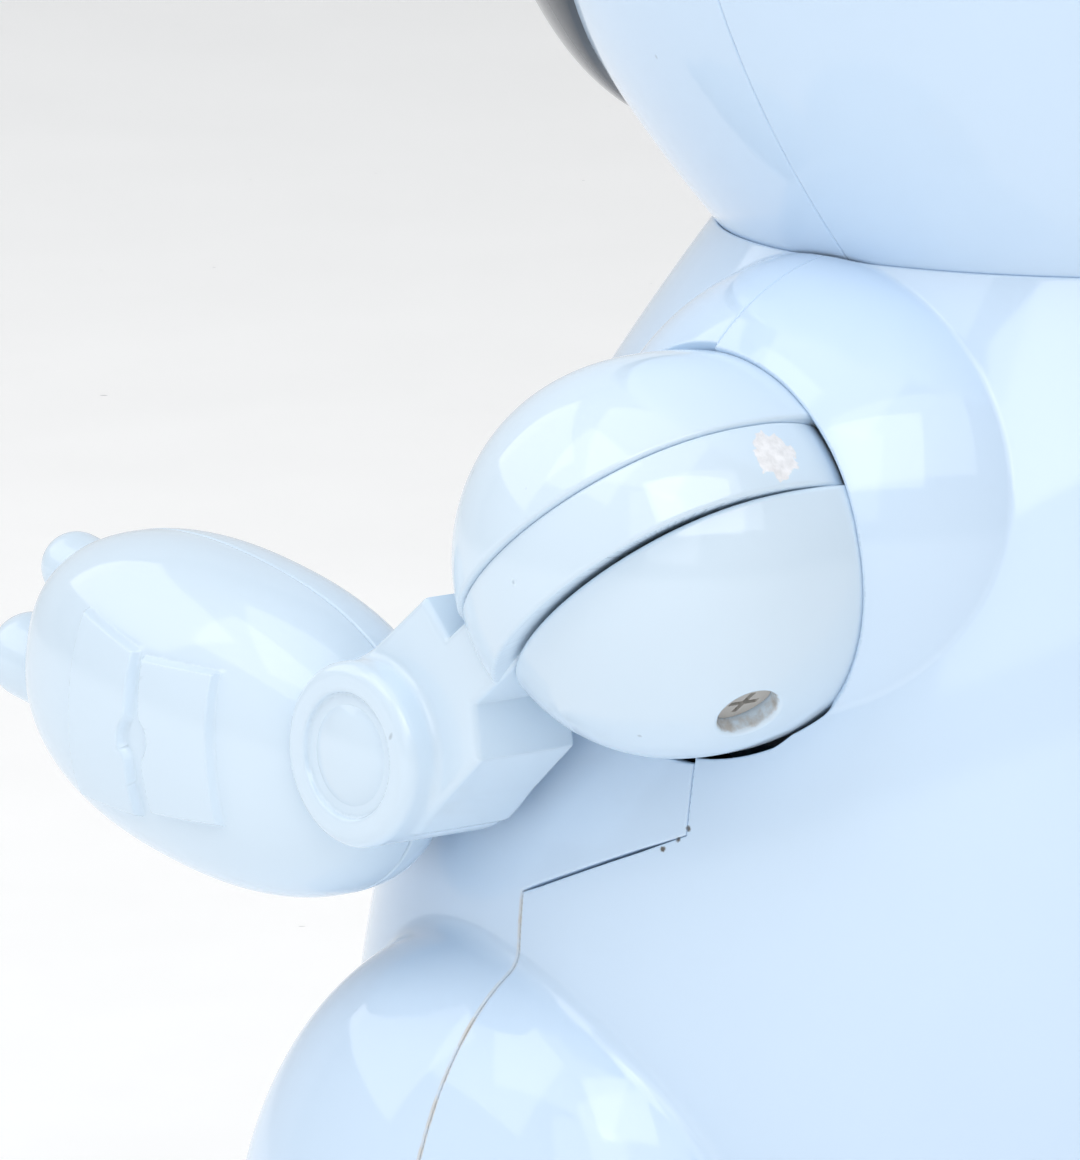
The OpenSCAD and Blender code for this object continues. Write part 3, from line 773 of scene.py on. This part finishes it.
def polygon(q, pts):
    """Distance to a flat polygon, below zero inside."""
    d = np.full(len(q), 1e9)
    s = np.ones(len(q))
    for i in range(len(pts)):
        a, b = pts[i], pts[i - 1]
        e, w = b - a, q - a
        t = np.clip((w @ e) / (e @ e), 0, 1)
        d = np.minimum(d, ((w - t[:, None] * e) ** 2).sum(1))
        c1, c2 = q[:, 1] >= a[1], q[:, 1] < b[1]
        c3 = e[0] * w[:, 1] > e[1] * w[:, 0]
        turn = (c1 & c2 & c3) | (~c1 & ~c2 & ~c3)
        s = np.where(turn, -s, s)
    return s * np.sqrt(d)


def rounded(a, b, edge):
    """Where both distances are below zero, with the corner between them rounded."""
    return np.minimum(np.maximum(a, b) + edge, 0) + np.hypot(np.maximum(a + edge, 0), np.maximum(b + edge, 0)) - edge


def rod(p, y, z, r, lo, hi, edge):
    """A round bar along X with rounded rims."""
    radial, along = np.hypot(p[:, 1] - y, p[:, 2] - z) - r, np.maximum(lo - p[:, 0], p[:, 0] - hi)
    return rounded(radial, along, edge)


def f_forearm(p):
    flat = polygon(np.stack([-p[:, 1], p[:, 2]], 1), SIDE)
    along = np.maximum(BARREL_IN - p[:, 0], p[:, 0] - FOREARM_OUT)
    block = rounded(flat, along, 0.9)
    barrel = rod(p, -WRIST_D, 0, BARREL_R, BARREL_IN, BARREL_OUT, 1.6)
    solid = smin(block, barrel, 1.2)
    recess = rod(p, -WRIST_D, 0, 6.9, BARREL_OUT - 0.7, BARREL_OUT + 9, 0.3)
    slot = np.maximum(np.abs(p[:, 0] - TONGUE_X) - 3.0, wedge(p))
    return smax(smax(solid, -recess, 0.5), -slot, 0.4)


def wedge(p):
    """The opening that lets the hand's tongue swing."""
    d, n = -p[:, 1] - WRIST_D, p[:, 2]
    r = np.hypot(d, n)
    lo, hi = math.radians(-12), math.radians(106)
    a = -(math.cos(lo) * n - math.sin(lo) * d)
    b = -(math.sin(hi) * d - math.cos(hi) * n)
    return np.minimum(r - 7.4, np.maximum(a, b))


h = 0.36
forearm = nets(f_forearm, (69.4, -49.0, -11.4), (89.8, -5.0, 11.4), h)
forearm = (arm_to_body(forearm[0]), forearm[1], turned(forearm[2], DROOP))

cap_line = [(CAP_R * math.sin(t), BARREL_OUT - 1.9 + 2.3 * math.cos(t)) for t in np.linspace(0.0, math.pi / 2, 14)]
cap = turned_form([*cap_line, (CAP_R, BARREL_OUT - 2.3)])
cap_at = arm_to_body(cap[0] + np.array([0, -WRIST_D, 0]))
cap = (cap_at, [f[::-1] for f in cap[1]], cap[2])

for side, flip in (("left", lambda part: part), ("right", mirrored)):
    arm = side + "_arm"
    add(side + "_front_cover", flip(cover_front), arm, [side + "_cover_front"], SMALL_BLUE)
    add(side + "_rear_cover", flip(cover_rear), arm, [side + "_cover_rear"], COVER_BLUE)
    add(side + "_arm_middle", flip(merged(band, flange, forearm)), arm, [side + "_arm_core"], CORE_BLUE)
    add(side + "_wrist_cap", flip(cap), arm, [side + "_wrist_pin"], SMALL_BLUE)

# ---------------------------------------------------------------- hands
HAND_POWER = 2.3  # the hand is a little squarer than an ellipsoid
# the two raised blocks' corners, as (along the hand, across it) from the hand's centre
BLOCKS = [
    ((-12.5, -9.2), (-1.8, -9.2), (-0.6, 7.6), (-11.5, 7.2)),
    ((1.0, -10.0), (12.0, -9.2), (10.6, 11.4), (0.6, 8.2)),
]


def panel_height(q):
    """Rise of the two blocks on the back of the hand, for points about its centre."""
    c, s = math.cos(PITCH), math.sin(PITCH)
    d, n = -q[:, 1] * c - q[:, 2] * s, -q[:, 1] * s + q[:, 2] * c
    rise = np.zeros(len(q))
    notch = np.hypot(d + 0.2, n + 1.2) - 2.2
    for block in BLOCKS:
        out = polygon(np.stack([d, n], 1), np.array(block, float))
        out = smax(out, -notch, 0.6)
        rise = np.maximum(rise, np.clip(0.5 - out / 0.9, 0, 1))
    rise = rise * rise * (3 - 2 * rise)
    return np.where(q[:, 0] > 0, rise, 0)


def hand_base(uv):
    a, t = uv[:, 0] * 2 * np.pi, (uv[:, 1] - 0.5) * np.pi
    u = np.stack([np.cos(t) * np.cos(a), np.sin(t), np.cos(t) * np.sin(a)], 1)
    k = (np.abs(u) ** HAND_POWER).sum(1) ** (-1 / HAND_POWER)
    return u * k[:, None] * HAND_S


def on_hand(uv):
    q = hand_base(uv)
    n = q / HAND_S**2
    n /= np.linalg.norm(n, axis=1)[:, None]
    return q + n * panel_height(q)[:, None] + HAND_C


def wrist_clear(p):
    return np.hypot(p[:, 1], p[:, 2]) - BARREL_R - 0.6


def panel_edge(p):
    rise = panel_height(p - HAND_C)
    return np.where((rise > 0.01) & (rise < 0.99), 0.0, 5.0)


def hand_half(outer):
    way = 1 if outer else -1
    cuts = [lambda p: way * (p[:, 0] - PARTING_X) - 0.06, wrist_clear]
    uv, tris = grid(240, 130)
    if outer:
        uv, tris = refine(uv, tris, on_hand, [panel_edge], ((0.5, 0.5), (0.3, 0.3)))
    return cut_skin(uv, tris, on_hand, cuts, edge=0.3, out=-1)


def to_body(part):
    p, f, c = part
    return hand_to_body(p), f, turned(turned(c, -DROOP - PITCH), DROOP)


def f_tongue(p):
    """The hand's hinge tongue, a disc on the wrist pin with a bar into the hand."""
    disc = rod(p, 0, 0, 6.8, 75.8, 81.2, 0.4)
    thick, tall = np.abs(p[:, 0] - TONGUE_X) - TONGUE_HALF, np.abs(p[:, 2]) - 4
    long = np.maximum(p[:, 1], -16 - p[:, 1])
    return smin(disc, np.maximum(np.maximum(thick, tall), long), 0.6)


FINGERS = [((74.0, -63.5, -1.8), 4.0), ((74.0, -68.7, -14.2), 5.0)]  # (tip, radius)


def f_fingers(p):
    """Two round-ended fingers that point ahead from inside the hand."""
    d = np.full(len(p), FAR)
    for tip, r in FINGERS:
        tip = np.array(tip)
        back = tip + np.array([0, 14.0, 0])
        w, e = p - tip, back - tip
        t = np.clip((w @ e) / (e @ e), 0, 1)
        d = smin(d, np.linalg.norm(w - t[:, None] * e, axis=1) - r, 1.0)
    return d


h = 0.5
tongue = nets(f_tongue, (75, -17, -8), (82, 8, 8), h)
outer_hand = to_body(merged(hand_half(True), tongue))
inner_hand = to_body(hand_half(False))
finger_part = to_body(nets(f_fingers, (68, -75, -21), (80, -43, 4), h))
for side, flip in (("left", lambda part: part), ("right", mirrored)):
    hand = side + "_hand"
    add(side + "_hand_back", flip(outer_hand), hand, [side + "_hand_outer"], HAND_BLUE)
    add(side + "_hand_palm", flip(inner_hand), hand, [side + "_hand_inner"], SMALL_BLUE)
    add(side + "_finger_pair", flip(finger_part), hand, [side + "_fingers"], SMALL_BLUE)

# ---------------------------------------------------------------- carried-over CAD nodes
slots = {s["node"]: s.get("material_slot") for s in frame["record"]["subparts"]}
for name, ob in frame["nodes"].items():
    material = WORN if name.endswith("cover_screw") else CAD_MATERIALS[slots[name]]
    ob.data.materials.clear()
    ob.data.materials.append(material)
    bevel = ob.modifiers.new("edges", "BEVEL")
    bevel.width, bevel.segments, bevel.limit_method, bevel.angle_limit = 0.0002, 2, "ANGLE", math.radians(40)

# ---------------------------------------------------------------- stage
def backdrop(away):
    """A pale floor that sweeps up on the far side of the robot."""
    bm = bmesh.new()
    wide = 4.0
    curve = [(2.2 + 0.9 * math.sin(t), 0.9 - 0.9 * math.cos(t)) for t in np.linspace(0.0, math.pi / 2, 14)]
    across = Vector((-away.y, away.x, 0)) * wide
    rows = []
    for d, z in [(-4.0, 0.0), *curve, (3.1, 3.5)]:
        at = away * d + Vector((0, 0, z - 0.0002))
        rows.append([bm.verts.new(at - across), bm.verts.new(at + across)])
    for a, b in zip(rows, rows[1:]):
        bm.faces.new((a[0], a[1], b[1], b[0]))
    mesh = bpy.data.meshes.new("sweep")
    bm.to_mesh(mesh)
    bm.free()
    mesh.polygons.foreach_set("use_smooth", [True] * len(mesh.polygons))
    ob = bpy.data.objects.new("sweep", mesh)
    bpy.context.scene.collection.objects.link(ob)
    paper = plastic("sweep_paper", (0.96, 0.965, 0.97), rough=0.8, vary=0.01)
    shader = next(n for n in paper.node_tree.nodes if n.type == "BSDF_PRINCIPLED")
    shader.inputs["Emission Color"].default_value = (1, 1, 1, 1)
    shader.inputs["Emission Strength"].default_value = 0.13
    mesh.materials.append(paper)
    return ob


def toward(az, el):
    """Unit vector at an azimuth from the front and a height angle, in degrees."""
    a, e = math.radians(az), math.radians(el)
    return Vector((math.sin(a) * math.cos(e), -math.cos(a) * math.cos(e), math.sin(e)))


def softbox(name, aim, az, el, distance, size, glow):
    """A rectangular softbox of even brightness (glow) that faces the aim point."""
    data = bpy.data.lights.new(name, "AREA")
    data.shape, data.size, data.size_y = "RECTANGLE", size[0], size[1]
    data.energy = glow * math.pi * size[0] * size[1]
    ob = bpy.data.objects.new(name, data)
    bpy.context.scene.collection.objects.link(ob)
    ob.location = aim + toward(az, el) * distance
    ob.rotation_euler = toward(az, el).to_track_quat("Z", "Y").to_euler()
    ob.visible_camera = False
    return ob


world = bpy.data.worlds.new("studio")
bpy.context.scene.world = world
world.use_nodes = True
world.node_tree.nodes["Background"].inputs["Color"].default_value = (0.98, 0.99, 1.0, 1)
world.node_tree.nodes["Background"].inputs["Strength"].default_value = 0.34
bpy.context.scene.view_settings.view_transform = "Standard"

AZ, EL = 138.0, 9.7
VIEW_TALL = 127.4725  # mm across the height of the picture
VIEW_OFF = (-64.8, -40.1)  # mm from the neck to the middle of the picture, right and up
back = toward(AZ, EL)
right = Vector((math.cos(math.radians(AZ)), math.sin(math.radians(AZ)), 0))
up = back.cross(right)
neck = Vector((0, AXIS_Y, NECK_Z / 1000))
aim = neck + right * (VIEW_OFF[0] / 1000) + up * (VIEW_OFF[1] / 1000)
distance = 1.5
camera_data = bpy.data.cameras.new("camera")
camera_data.lens = 36 * distance * 1000 / VIEW_TALL
camera_data.sensor_width = 36
camera_data.clip_end = 20
camera = bpy.data.objects.new("camera", camera_data)
bpy.context.scene.collection.objects.link(camera)
camera.location = aim + back * distance
camera.rotation_euler = back.to_track_quat("Z", "Y").to_euler()
bpy.context.scene.camera = camera

leg_spot = Vector((0.067, AXIS_Y - 0.004, 0.068))
shoulder = Vector((0.06, AXIS_Y, 0.125))
lights = [
    softbox("rear_box", shoulder, 165, 40, 2.2, (2.4, 1.4), 1.25),
    softbox("rear_window", shoulder, 130, 25, 2.1, (1.3, 1.5), 0.95),
    softbox("side_box", shoulder, 72, 50, 2.0, (1.4, 1.2), 1.3),
    softbox("top_box", shoulder, 110, 72, 1.6, (1.6, 1.6), 1.15),
    softbox("front_box", shoulder, 25, 35, 2.0, (1.6, 1.2), 1.2),
    softbox("leg_card", leg_spot, 155, 52, 0.15, (0.09, 0.06), 2.0),
]
lights[-1].visible_diffuse = False
floor = backdrop(Vector((-back.x, -back.y, 0)).normalized())
